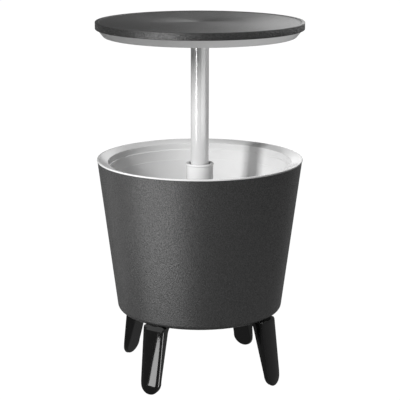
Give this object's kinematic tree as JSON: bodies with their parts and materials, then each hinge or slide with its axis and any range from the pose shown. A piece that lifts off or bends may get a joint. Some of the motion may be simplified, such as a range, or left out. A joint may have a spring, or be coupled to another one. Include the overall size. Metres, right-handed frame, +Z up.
{
  "type": "ice bucket side table",
  "caption": "Round side table over an ice bucket: the tabletop lifts on a centre pole and turns to lock, above a double-walled bucket with a drain, on splayed paddle legs.",
  "frame": {"origin": "on the ground, under the centre of the pole", "axes": "+Z up along the pole; the legs stand on the diagonals between X and Y; the drain is towards +Y, the rear"},
  "size_m": [0.49, 0.49, 0.8567],
  "materials": {
    "tabletop_grey": "fine concentric grain, satin",
    "shell_grey": "finely stippled, satin",
    "light_plastic": "smooth, glossy",
    "inner_plastic": "moulded, satin",
    "bearing_plastic": "natural, satin",
    "plug_plastic": "moulded, satin",
    "leg_black": "polished",
    "steel": "zinc plated",
    "seal_rubber": "smooth"
  },
  "bodies": {
    "bucket": {"outer_shell": "shell_grey", "column_collar": "light_plastic", "center_column": "light_plastic", "liner": "light_plastic", "liner_floor": "light_plastic", "drain_spout": "light_plastic", "column_nut": "inner_plastic", "drain_nut": "inner_plastic", "guide_bush": "bearing_plastic", "front_left_leg": "leg_black", "front_right_leg": "leg_black", "rear_left_leg": "leg_black", "rear_right_leg": "leg_black", "collar_screws": "steel", "base_screws": "steel", "leg_screws": "steel", "column_gasket": "seal_rubber", "drain_gasket": "seal_rubber"},
    "carriage": {"guide_ring": "bearing_plastic"},
    "tabletop": {"tabletop_panel": "tabletop_grey", "tabletop_pan": "light_plastic", "pan_screws": "steel", "pole_hub": "inner_plastic", "hub_screws": "steel", "hub_pin": "steel", "pole_tube": "light_plastic", "pole_foot": "inner_plastic", "foot_pin": "steel", "ring_washer": "steel", "ring_screw": "steel"},
    "plug": {"drain_plug": "plug_plastic", "drain_seal": "seal_rubber"}
  },
  "joints": [
    {"name": "lift", "type": "slide", "parent": "bucket", "child": "carriage", "axis": [0, 0, 1], "range_m": [-0.294, 0]},
    {"name": "twist", "type": "hinge", "parent": "carriage", "child": "tabletop", "pos_m": [0, 0, 0.478], "axis": [0, 0, 1], "range_deg": [0, 60]},
    {"name": "drain_pull", "type": "slide", "parent": "bucket", "child": "plug", "axis": [0, 0, -1], "range_m": [0, 0.03]}
  ]
}
